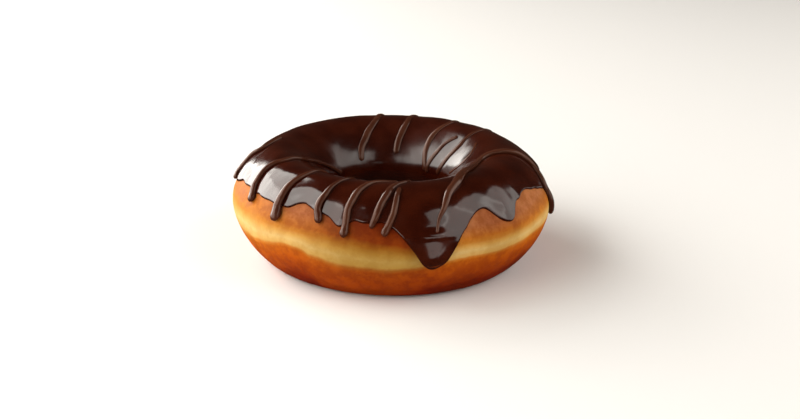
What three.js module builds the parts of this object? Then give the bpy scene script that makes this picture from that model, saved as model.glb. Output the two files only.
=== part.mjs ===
// A ring doughnut: one baked dough ring, a chocolate glaze poured over its top and into its
// hole, and strands of thicker chocolate drizzled across the glaze.
//
// Millimetres, +Z up. The origin is the centre of the hole on the surface the doughnut rests
// on. Azimuth 0 is the front (-Y) and turns towards +X. A second angle goes round the ring's
// section: 0 points away from the hole, 90 up, 180 into the hole and 270 down.

import * as THREE from "three";

// ---- driving dimensions ------------------------------------------------------------------

const OUTER_RADIUS = 47.5; // mean radius over the widest level
const OVALITY = 0.015; // the ring is this much longer and shorter across its two axes
const OVAL_AZIMUTH = 40; // direction of the longer axis
const HALF_WIDTH = 14.9; // half the width of the ring's section
const WIDEST_LEVEL = 18.5; // height of the section's widest level
const TOP_RISE = 13.4; // from the widest level to the glazed crest
const BOTTOM_DEPTH = 19.9; // from the widest level to where the round base would end
const TOP_SLIMNESS = 0.063; // how far the section's shoulders draw in from an ellipse
const BOTTOM_SLIMNESS = 0.043;
const BLEND_SINE = 0.35; // the upper and lower halves merge within this sine of the level

const GLAZE_THICKNESS = 1.2;
const LIP_SHARE = 0.45; // thickness left at the glaze's rim
const CLEARANCE = 0.4; // between pieces that lie on each other
const COVER = GLAZE_THICKNESS + CLEARANCE; // what the dough gives way under the glaze

const GLAZE_OUTER_ANGLE = 31.5; // where the glaze ends outside, round the section
const GLAZE_INNER_ANGLE = 202; // and inside the hole

// Runs and gaps along the glaze's outer rim: azimuth, half width and how far down round the
// section it runs, all in degrees. A run below zero is a bay where the glaze stays higher.
const OUTER_RUNS = [
  { at: -91, half: 14, drop: 18 },
  { at: -76, half: 6, drop: 3 },
  { at: -35, half: 8, drop: -12 },
  { at: -27, half: 7, drop: -4 },
  { at: -18, half: 6, drop: 9 },
  { at: 14.2, half: 18.5, drop: 52 },
  { at: 35, half: 6, drop: -7 },
  { at: 44.5, half: 9, drop: 22 },
  { at: 61, half: 9, drop: -7 },
  { at: 78, half: 11, drop: 12 },
  { at: 101, half: 9, drop: 16 },
  { at: 124, half: 8, drop: 6 },
  { at: 146, half: 12, drop: 24 },
  { at: 171, half: 9, drop: 9 },
  { at: -165, half: 8, drop: -7 },
  { at: -143, half: 11, drop: 19 },
  { at: -120, half: 9, drop: 7 },
];
const INNER_RUNS = [
  { at: -150, half: 18, drop: 6 },
  { at: -70, half: 25, drop: -5 },
  { at: 10, half: 20, drop: 7 },
  { at: 80, half: 22, drop: -4 },
  { at: 150, half: 16, drop: 5 },
];

// The longest run ends in a bead: extra thickness that fades away from its middle.
const BEAD = { azimuth: 14.2, angle: -10, height: 1.5, spreadAround: 6, spreadUp: 11 };

// Drizzled strands: height over width, and the azimuth, section angle and width of each bend.
const STRANDS = [
  {
    flatness: 0.7,
    path: [[-91, 14, 1.9], [-94, 22, 2], [-95, 52, 1.8], [-96, 66, 1.7], [-107, 84, 1.3]],
  },
  {
    flatness: 0.8,
    path: [[-62, 18, 2.5], [-64, 31, 2.2], [-67, 49, 1.8], [-69, 73, 1.6], [-70, 96, 1.5],
      [-77, 117, 1.4], [-96, 141, 1.4], [-111, 158, 1.4], [-126, 175, 1.4]],
  },
  {
    flatness: 0.8,
    path: [[-44, 10, 3], [-45, 20, 3], [-46, 40, 2.4], [-45.5, 66, 1.8], [-44, 88, 1.4],
      [-48, 120, 1.3]],
  },
  {
    flatness: 0.8,
    path: [[-26, 22, 2.2], [-28, 39, 2.1], [-27, 59, 1.8], [-25.5, 80, 1.3], [-22, 114, 1.2]],
  },
  {
    flatness: 0.8,
    path: [[-16, 8, 2.3], [-16, 35, 2], [-15, 57, 2], [-12, 80, 1.6], [-8.5, 92, 1.4],
      [-3, 101, 1.2]],
  },
  {
    flatness: 0.75,
    path: [[-7, 23, 1.5], [-5.5, 37, 1.9], [-3, 58, 2.1], [0, 78, 1.7], [3, 89, 1.4],
      [11, 108, 1.2]],
  },
  { flatness: 0.75, path: [[-2.5, 13, 2], [0, 35, 1.8], [1.8, 56, 1.7], [3.6, 77, 1.2]] },
  {
    flatness: 0.75,
    path: [[15, 15, 1.1], [17, 34, 1.1], [21, 54, 1.3], [30, 79, 1.6], [38, 94, 1.6],
      [47, 104, 1.7], [57, 111, 1.7], [67, 114, 1.7], [75, 111, 1.7], [81, 91, 1.7],
      [84, 69, 1.8], [83, 46, 1.8], [79, 24, 1.9], [77, 5, 2.3], [77, -12, 2.2]],
  },
  {
    flatness: 0.42,
    path: [[-152, 166, 1.8], [-155, 148, 2], [-164, 123, 2.1], [-172, 98, 1.9],
      [-176, 66, 1.7], [-179, 30, 1.8], [-180, 3, 2.2], [-180, -10, 2.2]],
  },
  {
    flatness: 0.42,
    path: [[175.5, 158, 1.8], [174, 140, 2], [170, 109, 1.9], [168, 78, 1.6], [165, 20, 1.8]],
  },
  {
    flatness: 0.45,
    path: [[146.5, 166, 1.6], [148, 150, 1.7], [148, 125, 1.8], [145, 103, 1.4],
      [145, 72, 1.3], [150, 30, 1.6]],
  },
  { flatness: 0.5, path: [[140.5, 172, 1.4], [136, 145, 1.5], [131, 123, 1.4], [127.5, 115, 1.4]] },
  {
    flatness: 0.5,
    path: [[127, 176, 1.4], [122, 154, 1.6], [119, 127, 1.6], [121, 103, 1.3], [125, 72, 1.2],
      [131, 36, 1.4]],
  },
  { flatness: 0.5, path: [[106, 166, 1.1], [96, 144, 1.2], [97, 131, 1.2], [108, 111, 1.1]] },
];

// ---- mesh fineness -----------------------------------------------------------------------

const DOUGH_AZIMUTHS = 72;
const DOUGH_SECTION_STEPS = 30;
const GLAZE_FINE_STEP = 2.5; // across the front, where the longest runs are
const GLAZE_COARSE_STEP = 5;
const GLAZE_FRONT = [-45, 65];
const GLAZE_TOP_STEPS = 15;
const GLAZE_UNDER_STEPS = 18;
const RIM_CROWDING = 1.3; // above 1, rows lie closer together towards the outer rim
const STRAND_STEP = 2.2; // length of one step along a strand
const STRAND_SIDES = 8;

// ---- the ring's shape --------------------------------------------------------------------

const radians = THREE.MathUtils.degToRad;
const smoothstep = THREE.MathUtils.smoothstep;

// The glazed envelope at one azimuth and section angle, as radius from the axis and height.
function envelope(azimuth, angle) {
  const turn = radians(angle);
  const oval = 1 + OVALITY * Math.cos(2 * radians(azimuth - OVAL_AZIMUTH));
  const middle = OUTER_RADIUS * oval - HALF_WIDTH;
  const upper = smoothstep(Math.sin(turn), -BLEND_SINE, BLEND_SINE);
  const rise = THREE.MathUtils.lerp(BOTTOM_DEPTH, TOP_RISE, upper);
  const slimness = THREE.MathUtils.lerp(BOTTOM_SLIMNESS, TOP_SLIMNESS, upper);
  const pull = 1 - slimness * Math.sin(2 * turn) ** 2;
  return new THREE.Vector2(
    middle + HALF_WIDTH * Math.cos(turn) * pull,
    WIDEST_LEVEL + rise * Math.sin(turn) * pull,
  );
}

// The envelope's outward direction in the section's own plane.
function sectionNormal(azimuth, angle) {
  const step = 0.05;
  const along = envelope(azimuth, angle + step).sub(envelope(azimuth, angle - step));
  return new THREE.Vector2(along.y, -along.x).normalize();
}

// A point at some height over the dough. Under the glaze the dough lies COVER inside the
// envelope, and it comes out to meet the envelope at the bare sides.
function overDough(azimuth, angle, height) {
  const glazed = smoothstep(angle, -14, 28) * (1 - smoothstep(angle, 205, 228));
  const point = envelope(azimuth, angle);
  point.addScaledVector(sectionNormal(azimuth, angle), height - COVER * glazed);
  const turn = radians(azimuth);
  return new THREE.Vector3(point.x * Math.sin(turn), -point.x * Math.cos(turn), point.y);
}

// How far the runs of a rim reach at one azimuth, each a smooth bell round its own middle.
function reach(runs, azimuth) {
  let total = 0;
  for (const run of runs) {
    const apart = Math.abs(THREE.MathUtils.euclideanModulo(azimuth - run.at + 180, 360) - 180);
    if (apart < run.half) total += run.drop * 0.5 * (1 + Math.cos(Math.PI * apart / run.half));
  }
  return total;
}

function outerRim(azimuth) {
  return GLAZE_OUTER_ANGLE - reach(OUTER_RUNS, azimuth);
}

// ---- mesh builders -----------------------------------------------------------------------

function meshFrom(name, points, triangles, material) {
  const geometry = new THREE.BufferGeometry();
  geometry.setAttribute(
    "position",
    new THREE.Float32BufferAttribute(points.flatMap((p) => [p.x, p.y, p.z]), 3),
  );
  geometry.setIndex(triangles);
  geometry.computeVertexNormals();
  const mesh = new THREE.Mesh(geometry, material);
  mesh.name = name;
  return mesh;
}

// Triangles over a grid of points that closes on itself across its columns, and across its
// rows too when the section is a loop.
function gridTriangles(rows, columns, rowsClose) {
  const triangles = [];
  const lastRow = rowsClose ? rows : rows - 1;
  for (let row = 0; row < lastRow; row++) {
    const next = (row + 1) % rows;
    for (let column = 0; column < columns; column++) {
      const beside = (column + 1) % columns;
      const a = row * columns + column;
      const b = row * columns + beside;
      const c = next * columns + beside;
      const d = next * columns + column;
      triangles.push(a, c, b, a, d, c);
    }
  }
  return triangles;
}

// A ring made of one closed section for every azimuth.
function ring(name, azimuths, sectionAt, material) {
  const points = azimuths.flatMap((azimuth) => sectionAt(azimuth));
  const columns = points.length / azimuths.length;
  return meshFrom(name, points, gridTriangles(azimuths.length, columns, true), material);
}

// ---- the dough ---------------------------------------------------------------------------

const doughMaterial = new THREE.MeshStandardMaterial({
  color: 0xc87a34,
  roughness: 0.62,
  metalness: 0,
});

// The section starts and ends on the flat the dough rests on.
function restAngle() {
  let low = 0;
  let high = 90;
  for (let halving = 0; halving < 40; halving++) {
    const middle = (low + high) / 2;
    if (envelope(0, -middle).y > 0) low = middle;
    else high = middle;
  }
  return low;
}

const REST_ANGLE = restAngle();

function doughSection(azimuth) {
  const points = [];
  for (let step = 0; step <= DOUGH_SECTION_STEPS; step++) {
    const share = step / DOUGH_SECTION_STEPS;
    const angle = THREE.MathUtils.lerp(-REST_ANGLE, 180 + REST_ANGLE, share);
    const point = overDough(azimuth, angle, 0);
    if (step === 0 || step === DOUGH_SECTION_STEPS) point.z = 0;
    points.push(point);
  }
  return points;
}

const doughAzimuths = Array.from(
  { length: DOUGH_AZIMUTHS },
  (_, index) => (index * 360) / DOUGH_AZIMUTHS,
);
const doughRing = ring("dough_ring", doughAzimuths, doughSection, doughMaterial);

// ---- the glaze ---------------------------------------------------------------------------

const glazeMaterial = new THREE.MeshStandardMaterial({
  color: 0x2a0f08,
  roughness: 0.12,
  metalness: 0,
});

function beadHeight(azimuth, angle) {
  const around = (azimuth - BEAD.azimuth) / BEAD.spreadAround;
  const up = (angle - BEAD.angle) / BEAD.spreadUp;
  return BEAD.height * Math.exp(-around * around - up * up);
}

// A shell: its top from the outer rim over the crest into the hole, then back underneath.
function glazeSection(azimuth) {
  const outer = outerRim(azimuth);
  const inner = GLAZE_INNER_ANGLE + reach(INNER_RUNS, azimuth);
  const points = [];
  for (let step = 0; step <= GLAZE_TOP_STEPS; step++) {
    const angle = THREE.MathUtils.lerp(outer, inner, (step / GLAZE_TOP_STEPS) ** RIM_CROWDING);
    const onRim = step === 0 || step === GLAZE_TOP_STEPS;
    const thickness = GLAZE_THICKNESS * (onRim ? LIP_SHARE : 1);
    const bead = onRim ? 0 : beadHeight(azimuth, angle);
    points.push(overDough(azimuth, angle, CLEARANCE + thickness + bead));
  }
  for (let step = GLAZE_UNDER_STEPS; step >= 0; step--) {
    const angle = THREE.MathUtils.lerp(outer, inner, (step / GLAZE_UNDER_STEPS) ** RIM_CROWDING);
    points.push(overDough(azimuth, angle, CLEARANCE));
  }
  return points;
}

const glazeAzimuths = [];
for (let azimuth = GLAZE_FRONT[0]; azimuth < GLAZE_FRONT[1]; azimuth += GLAZE_FINE_STEP) {
  glazeAzimuths.push(azimuth);
}
for (
  let azimuth = GLAZE_FRONT[1];
  azimuth < GLAZE_FRONT[0] + 360;
  azimuth += GLAZE_COARSE_STEP
) {
  glazeAzimuths.push(azimuth);
}
const glaze = ring("chocolate_glaze", glazeAzimuths, glazeSection, glazeMaterial);

// ---- the drizzled strands ----------------------------------------------------------------

const drizzleMaterial = new THREE.MeshStandardMaterial({
  color: 0x3a1c12,
  roughness: 0.35,
  metalness: 0,
});

const END_SHARE = 0.55; // the strand narrows to this share of its width at each end
const STEP_DOWN = 9; // degrees below the glaze's rim over which a strand sinks to the dough

// Height of a strand's underside over the dough.
function strandBase(azimuth, angle) {
  const below = smoothstep(outerRim(azimuth) - angle, 0, STEP_DOWN);
  return CLEARANCE + COVER * (1 - below);
}

// An oval bar that lies on the glaze along a smooth line through the strand's bends.
function strand(name, flatness, path) {
  const bends = path.map((bend) => new THREE.Vector3(...bend));
  const line = new THREE.CatmullRomCurve3(bends, false, "centripetal");
  const overBase = (bend, height) =>
    overDough(bend.x, bend.y, strandBase(bend.x, bend.y) + height);
  const sampled = Array.from({ length: 41 }, (_, index) => overBase(line.getPoint(index / 40), 0));
  const length = new THREE.CatmullRomCurve3(sampled).getLength();
  const steps = Math.max(8, Math.round(length / STRAND_STEP));
  const points = [];
  for (let step = 0; step <= steps; step++) {
    const share = step / steps;
    const bend = line.getPoint(share);
    const ending = step === 0 || step === steps ? END_SHARE : 1;
    const width = bend.z;
    const height = width * flatness;
    const centre = overBase(bend, height / 2);
    const along = overBase(line.getPoint(Math.min(1, share + 0.01)), height / 2)
      .sub(overBase(line.getPoint(Math.max(0, share - 0.01)), height / 2))
      .normalize();
    const outward = overBase(bend, height).sub(centre);
    const across = new THREE.Vector3().crossVectors(along, outward).normalize();
    const up = new THREE.Vector3().crossVectors(across, along);
    for (let side = 0; side < STRAND_SIDES; side++) {
      const turn = (side / STRAND_SIDES) * 2 * Math.PI;
      points.push(
        centre
          .clone()
          .addScaledVector(across, (width / 2) * ending * Math.cos(turn))
          .addScaledVector(up, (height / 2) * ending * Math.sin(turn)),
      );
    }
  }
  const triangles = gridTriangles(steps + 1, STRAND_SIDES, false);
  const last = steps * STRAND_SIDES;
  for (let side = 1; side < STRAND_SIDES - 1; side++) {
    triangles.push(0, side, side + 1);
    triangles.push(last, last + side + 1, last + side);
  }
  return meshFrom(name, points, triangles, drizzleMaterial);
}

// ---- the doughnut ------------------------------------------------------------------------

const doughnut = new THREE.Group();
doughnut.add(doughRing, glaze);
STRANDS.forEach(({ flatness, path }, index) => {
  const number = String(index + 1).padStart(2, "0");
  doughnut.add(strand(`drizzle_strand_${number}`, flatness, path));
});

export default doughnut;
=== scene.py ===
# %% [markdown]
# # A glazed ring doughnut
#
# This lesson dresses one chocolate-glazed ring doughnut. Its real sizes come from a packed
# CAD model, which loads as a fixed frame: one dough ring, one skin of chocolate glaze and
# fourteen drizzled strands of thicker chocolate. Every CAD solid here is soft food, so each
# one is replaced by a finer piece in the same place. Lengths are in metres, +Z is up and the
# front of the doughnut faces -Y.

# %% Load the frame
import math

import bpy
import numpy as np
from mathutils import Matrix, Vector, kdtree, noise


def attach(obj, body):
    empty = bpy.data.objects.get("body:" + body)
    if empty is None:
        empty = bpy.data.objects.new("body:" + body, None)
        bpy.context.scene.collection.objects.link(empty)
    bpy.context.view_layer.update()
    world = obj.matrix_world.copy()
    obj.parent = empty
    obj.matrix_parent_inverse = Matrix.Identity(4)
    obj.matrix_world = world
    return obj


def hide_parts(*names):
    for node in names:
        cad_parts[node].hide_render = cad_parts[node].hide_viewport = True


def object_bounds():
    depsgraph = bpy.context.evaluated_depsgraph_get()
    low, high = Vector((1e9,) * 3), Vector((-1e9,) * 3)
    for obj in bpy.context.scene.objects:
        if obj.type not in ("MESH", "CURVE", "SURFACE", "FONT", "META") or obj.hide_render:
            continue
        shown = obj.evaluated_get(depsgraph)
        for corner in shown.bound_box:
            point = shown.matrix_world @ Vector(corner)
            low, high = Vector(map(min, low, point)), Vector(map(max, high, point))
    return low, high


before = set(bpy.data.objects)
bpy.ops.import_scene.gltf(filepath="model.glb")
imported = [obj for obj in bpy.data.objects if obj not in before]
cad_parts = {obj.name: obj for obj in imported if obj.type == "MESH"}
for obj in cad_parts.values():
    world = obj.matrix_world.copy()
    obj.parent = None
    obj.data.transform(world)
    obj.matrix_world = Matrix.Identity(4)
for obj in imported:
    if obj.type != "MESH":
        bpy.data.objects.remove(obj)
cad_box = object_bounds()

MM = 0.001
cad_low, cad_high = cad_box
print("CAD size in mm:", [round((high - low) / MM, 1) for low, high in zip(cad_low, cad_high)])

# %% [markdown]
# ## Where the camera stands
#
# The doughnut is seen from just above its front, a little under twenty degrees over the
# table and from some forty centimetres away. The camera is made first, so that each piece
# can be judged from it as soon as it is there. It aims slightly past the hole's axis and
# low, which sets the doughnut a little left of the middle of the view and above it.

# %% The camera
CAMERA_HEIGHT_ANGLE = math.radians(19.5)
CAMERA_DISTANCE = 0.420
LOOK_LEVEL = 0.018
AIM = Vector((0.0027, 0.0, 0.01195))
LENS_MM = 63.3
SENSOR_MM = 36.0
NEAREST_SEEN = 0.01


def add_object(name, data):
    """A new object in the scene."""
    made = bpy.data.objects.new(name, data)
    bpy.context.scene.collection.objects.link(made)
    return made


camera_data = bpy.data.cameras.new("camera")
camera_data.lens = LENS_MM
camera_data.sensor_width = SENSOR_MM
camera_data.clip_start = NEAREST_SEEN
camera = add_object("camera", camera_data)
camera.location = (
    0.0,
    -CAMERA_DISTANCE * math.cos(CAMERA_HEIGHT_ANGLE),
    LOOK_LEVEL + CAMERA_DISTANCE * math.sin(CAMERA_HEIGHT_ANGLE),
)
camera.rotation_euler = (AIM - camera.location).to_track_quat("-Z", "Y").to_euler()
bpy.context.scene.camera = camera
print("camera at", [round(x, 4) for x in camera.location])

# %% [markdown]
# ## The rule of the ring
#
# A doughnut is a ring whose section is drawn in at the shoulders, flatter on top than below,
# and a touch oval in plan. Two angles name any place on it: the azimuth, which is 0 at the
# front and grows towards +X, and the section angle, which is 0 on the outside, 90 on the
# crest, 180 inside the hole and 270 underneath. The dough tree and the chocolate both need
# this rule, so its sizes are named once here.

# %% The ring's sizes
OUTER_RADIUS = 47.5 * MM
OVALITY = 0.015
OVAL_AZIMUTH = math.radians(40)
HALF_WIDTH = 14.9 * MM
WIDEST_LEVEL = 18.5 * MM
TOP_RISE = 13.4 * MM
BOTTOM_DEPTH = 19.9 * MM
TOP_SLIMNESS = 0.063
BOTTOM_SLIMNESS = 0.043
BLEND_SINE = 0.35  # the top's shape passes into the bottom's between these sines
COVER = 1.6 * MM  # how far the dough lies under the glazed outline
OUTSIDE_FADE = (-14.0, 28.0)  # section angles over which the dough dives under the glaze
INSIDE_FADE = (205.0, 228.0)
SLOPE_STEP = 0.05  # the degrees to either side over which a slope is measured


def smoothstep(x, low, high):
    share = np.clip((x - low) / (high - low), 0, 1)
    return share * share * (3 - 2 * share)


def envelope(azimuth, angle):
    """Radius and height of the glazed outline; both angles are arrays in degrees."""
    turn = np.radians(angle)
    oval = 1 + OVALITY * np.cos(2 * (np.radians(azimuth) - OVAL_AZIMUTH))
    upper = smoothstep(np.sin(turn), -BLEND_SINE, BLEND_SINE)
    rise = BOTTOM_DEPTH + (TOP_RISE - BOTTOM_DEPTH) * upper
    slimness = BOTTOM_SLIMNESS + (TOP_SLIMNESS - BOTTOM_SLIMNESS) * upper
    pull = 1 - slimness * np.sin(2 * turn) ** 2
    radius = OUTER_RADIUS * oval - HALF_WIDTH + HALF_WIDTH * np.cos(turn) * pull
    return radius, WIDEST_LEVEL + rise * np.sin(turn) * pull


def over_dough(azimuth, angle, height):
    """Points at some height over the dough's smooth surface, as an array of (x, y, z)."""
    azimuth, angle, height = np.broadcast_arrays(azimuth, angle, height)
    radius, level = envelope(azimuth, angle)
    radius_on, level_on = envelope(azimuth, angle + SLOPE_STEP)
    radius_back, level_back = envelope(azimuth, angle - SLOPE_STEP)
    out, up = level_on - level_back, radius_back - radius_on
    size = np.hypot(out, up)
    glazed = smoothstep(angle, *OUTSIDE_FADE) * (1 - smoothstep(angle, *INSIDE_FADE))
    lift = height - COVER * glazed
    radius = radius + lift * out / size
    level = level + lift * up / size
    turn = np.radians(azimuth)
    return np.stack([radius * np.sin(turn), -radius * np.cos(turn), level], axis=-1)


crest = over_dough(0.0, 90.0, 0.0)
print("dough crest in mm:", round(float(crest[2]) / MM, 2))

# %% [markdown]
# ## Small helpers for node trees
#
# Trees built in code are long to read when each node takes five lines. These helpers make a
# node, feed its inputs from numbers or from other nodes, and return it, so that a formula
# stays about as short as it would be on paper.

# %% Node helpers


def feed(tree, socket, value):
    """Gives a socket a link or a plain value."""
    if isinstance(value, bpy.types.NodeSocket):
        tree.links.new(value, socket)
    elif value is not None:
        socket.default_value = value


def node(tree, kind, inputs=None, **settings):
    """A new node with its settings, and inputs given by name or by number."""
    made = tree.nodes.new(kind)
    for name, value in settings.items():
        setattr(made, name, value)
    for name, value in (inputs or {}).items():
        feed(tree, made.inputs[name], value)
    return made


def calc(tree, operation, *values):
    """A math node's result."""
    made = node(tree, "ShaderNodeMath", operation=operation)
    for socket, value in zip(made.inputs, values):
        feed(tree, socket, value)
    return made.outputs[0]


def scaled(tree, vector, scale):
    """A vector times a number."""
    made = node(tree, "ShaderNodeVectorMath", {0: vector, "Scale": scale}, operation="SCALE")
    return made.outputs["Vector"]


def ease(tree, value, low, high, to_low=0.0, to_high=1.0, shape="SMOOTHSTEP"):
    """A map range node's result, eased by default."""
    made = node(tree, "ShaderNodeMapRange",
                {"Value": value, "From Min": low, "From Max": high,
                 "To Min": to_low, "To Max": to_high}, interpolation_type=shape)
    return made.outputs["Result"]


# %% Making a geometry tree and running it


def new_tree(name, inputs):
    """A geometry tree with named inputs: (name, socket type, default)."""
    tree = bpy.data.node_groups.new(name, "GeometryNodeTree")
    tree.interface.new_socket("Geometry", in_out="INPUT", socket_type="NodeSocketGeometry")
    tree.interface.new_socket("Geometry", in_out="OUTPUT", socket_type="NodeSocketGeometry")
    for label, kind, default in inputs:
        socket = tree.interface.new_socket(label, in_out="INPUT", socket_type=kind)
        if default is not None:
            socket.default_value = default
    return tree, tree.nodes.new("NodeGroupInput"), tree.nodes.new("NodeGroupOutput")


def identifier(tree, label):
    """The identifier of a tree's input, by which a modifier sets it."""
    for item in tree.interface.items_tree:
        if item.item_type == "SOCKET" and item.in_out == "INPUT" and item.name == label:
            return item.identifier
    raise KeyError(label)


def grow(name, tree, values, start=None):
    """Runs a geometry tree on a start mesh and returns the result as a plain object."""
    seed = add_object(name + "_seed", start or bpy.data.meshes.new(name + "_seed"))
    modifier = seed.modifiers.new("grow", "NODES")
    modifier.node_group = tree
    for label, value in values.items():
        modifier[identifier(tree, label)] = value
    depsgraph = bpy.context.evaluated_depsgraph_get()
    mesh = bpy.data.meshes.new_from_object(seed.evaluated_get(depsgraph), depsgraph=depsgraph)
    seed.modifiers.remove(modifier)
    bpy.data.objects.remove(seed)
    mesh.name = name
    mesh.shade_smooth()
    return add_object(name, mesh)


def report(piece):
    """Prints a piece's size and how many triangles it has."""
    corners = np.array([v.co for v in piece.data.vertices])
    size = (corners.max(0) - corners.min(0)) / MM
    faces = sum(len(face.vertices) - 2 for face in piece.data.polygons)
    print(piece.name, "size in mm:", size.round(1).tolist(), "triangles:", faces)


# %% [markdown]
# ## Finishes: what the surfaces share
#
# Dough and chocolate have one thing in common: a fine unevenness that breaks up the light,
# from the crumb of the crust to the faint ripples of set glaze. It is one shader group, set
# in each material with its own size of grain. It gives a height for a bump and a mask that
# tints the colour.

# %% The uneven surface group
MASK_RANGE = (0.3, 0.7)  # the noise values between which the mask goes from 0 to 1


def uneven_group():
    """Two sizes of noise, given as a height and a mask."""
    tree = bpy.data.node_groups.new("uneven_surface", "ShaderNodeTree")
    for label, default in (("Coarse Scale", 200.0), ("Fine Scale", 900.0), ("Fine Share", 0.4)):
        socket = tree.interface.new_socket(label, in_out="INPUT", socket_type="NodeSocketFloat")
        socket.default_value = default
    for label in ("Height", "Mask"):
        tree.interface.new_socket(label, in_out="OUTPUT", socket_type="NodeSocketFloat")
    source, result = tree.nodes.new("NodeGroupInput"), tree.nodes.new("NodeGroupOutput")
    given = source.outputs
    place = node(tree, "ShaderNodeTexCoord").outputs["Object"]
    coarse = node(tree, "ShaderNodeTexNoise",
                  {"Vector": place, "Scale": given["Coarse Scale"], "Detail": 3.0})
    fine = node(tree, "ShaderNodeTexNoise",
                {"Vector": place, "Scale": given["Fine Scale"], "Detail": 4.0, "Roughness": 0.6})
    fine_part = calc(tree, "MULTIPLY", fine.outputs["Fac"], given["Fine Share"])
    height = calc(tree, "ADD", coarse.outputs["Fac"], fine_part)
    feed(tree, result.inputs["Height"], height)
    feed(tree, result.inputs["Mask"], ease(tree, coarse.outputs["Fac"], *MASK_RANGE))
    return tree


UNEVEN = uneven_group()
print("group", UNEVEN.name, "has", len(UNEVEN.nodes), "nodes")

# %% Helpers for materials


def new_material(name):
    """A material with its node tree and its shader."""
    material = bpy.data.materials.new(name)
    material.use_nodes = True
    tree = material.node_tree
    return material, tree, tree.nodes["Principled BSDF"]


def uneven(tree, coarse_scale, fine_scale, fine_share):
    """The uneven surface group in a material, with its own size of grain."""
    sizes = {"Coarse Scale": coarse_scale, "Fine Scale": fine_scale, "Fine Share": fine_share}
    return node(tree, "ShaderNodeGroup", sizes, node_tree=UNEVEN).outputs


def mixed(tree, share, first, second, blend="MIX"):
    """The first colour, mixed with or multiplied by the second."""
    made = node(tree, "ShaderNodeMix", {"Factor": share, "A": first, "B": second},
                data_type="RGBA", blend_type=blend)
    return made.outputs["Result"]


def raised(tree, height, distance, strength):
    """The normal of a surface that the height raises."""
    bump = node(tree, "ShaderNodeBump",
                {"Height": height, "Distance": distance, "Strength": strength})
    return bump.outputs["Normal"]


def preset(surface, settings):
    """Sets the shader's own sockets to constants."""
    for name, value in settings.items():
        surface.inputs[name].default_value = value


# %% [markdown]
# ## The crust
#
# A yeast ring fries one side at a time and floats high in the oil, so its waist never
# browns: a cream belt is left between a tan upper half and a deeper brown lower half. The
# colour therefore follows how far a place lies from the belt's middle, counted in half
# belts, which the dough mesh carries as an attribute. Two ramps turn that distance into
# colour, a fair one and a deep one, and a second attribute mixes them round the ring. That
# mix is partly one side frying deeper and partly painted shade: it is deepest at the front
# and raised under the runs at the right, where less light falls. The pinker top of the fair
# ramp is painted sheen, standing for the soft shine of the oily crust. Noise frays the
# belt's edges and mottles the crust, but mottles the belt less, since that hardly touched
# the oil. A hand-painted texture could show this too, but a ramp over a measured distance
# stays sharp however near one looks.

# %% The crust's colours
# distance from the belt's middle, negative below it, and the colour there
FAIR_STOPS = (
    (-5.2, (0.160, 0.014, 0.0005)),
    (-4.0, (0.260, 0.034, 0.0005)),
    (-2.4, (0.390, 0.072, 0.001)),
    (-1.35, (0.420, 0.098, 0.003)),
    (-1.02, (0.500, 0.170, 0.020)),
    (-0.75, (0.580, 0.335, 0.095)),
    (-0.10, (0.585, 0.385, 0.145)),
    (0.45, (0.560, 0.300, 0.075)),
    (0.95, (0.485, 0.183, 0.022)),
    (1.50, (0.450, 0.142, 0.013)),
    # this top stop's pinker, bluer tone is painted sheen, standing for the soft shine of oily crust
    (3.00, (0.400, 0.140, 0.046)),
)
# this ramp stands for crust that fried deeper and also for painted shade where the ring gets less
# light
DEEP_AND_SHADED_STOPS = (
    (-5.2, (0.190, 0.011, 0.0)),
    (-4.0, (0.250, 0.030, 0.0)),
    (-2.4, (0.270, 0.038, 0.0)),
    (-1.35, (0.290, 0.052, 0.001)),
    (-1.02, (0.290, 0.090, 0.010)),
    (-0.75, (0.360, 0.200, 0.038)),
    (-0.10, (0.380, 0.230, 0.055)),
    (0.45, (0.325, 0.165, 0.025)),
    (0.95, (0.240, 0.080, 0.006)),
    (1.50, (0.170, 0.026, 0.0005)),
    (3.00, (0.140, 0.015, 0.0005)),
)
BELT_RANGE = (-5.5, 4.0)  # the distances that the ramps cover
print("colours from fair to deep crust:", len(FAIR_STOPS), "and", len(DEEP_AND_SHADED_STOPS), "stops")

# %% How the colours are frayed and mottled
BROAD_SCALE, NARROW_SCALE = 75.0, 420.0
BROAD_FRAY, NARROW_FRAY = 0.7, 0.2  # how far each noise moves the belt's edges
FRAY_MIDDLE = 0.45  # what both noises add on average
CRUST_GRAIN = (260.0, 1100.0, 0.5)
GRAIN_HEIGHTS = (0.60, 0.92)  # the heights of the grain from dark to pale
MOTTLE_DARK = (0.87, 0.78, 0.64)
MOTTLE_PALE = (1.16, 1.22, 1.34)
BELT_MOTTLE = 0.4  # the share of the mottle that the belt shows
MOTTLE_FADE = (0.8, 1.6)  # the distances over which the mottle grows to its full strength
CRUST_ROUGHNESS = (0.50, 0.66)
CRUST_BUMP = 0.10 * MM
CRUST_BUMP_STRENGTH = 0.7
# the shine stays low because the crust's sheen is painted into the top of the fair ramp
CRUST_SHINE = 0.06
UNDER_SKIN = 0.12  # the share of the light that wanders under the crust before it comes out
UNDER_SKIN_DEPTH = 1.5 * MM
UNDER_SKIN_REACH = (1.0, 0.45, 0.15)  # red light goes deepest


def belt_ramp(tree, share, wanted):
    """A colour ramp over the distance from the belt."""
    ramp = node(tree, "ShaderNodeValToRGB", {"Fac": share})
    stops = ramp.color_ramp.elements
    while len(stops) < len(wanted):
        stops.new(1.0)
    for stop, (offset, colour) in zip(stops, wanted):
        stop.position = (offset - BELT_RANGE[0]) / (BELT_RANGE[1] - BELT_RANGE[0])
        stop.color = (*colour, 1.0)
    return ramp.outputs["Color"]


# %% The crust material


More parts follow.
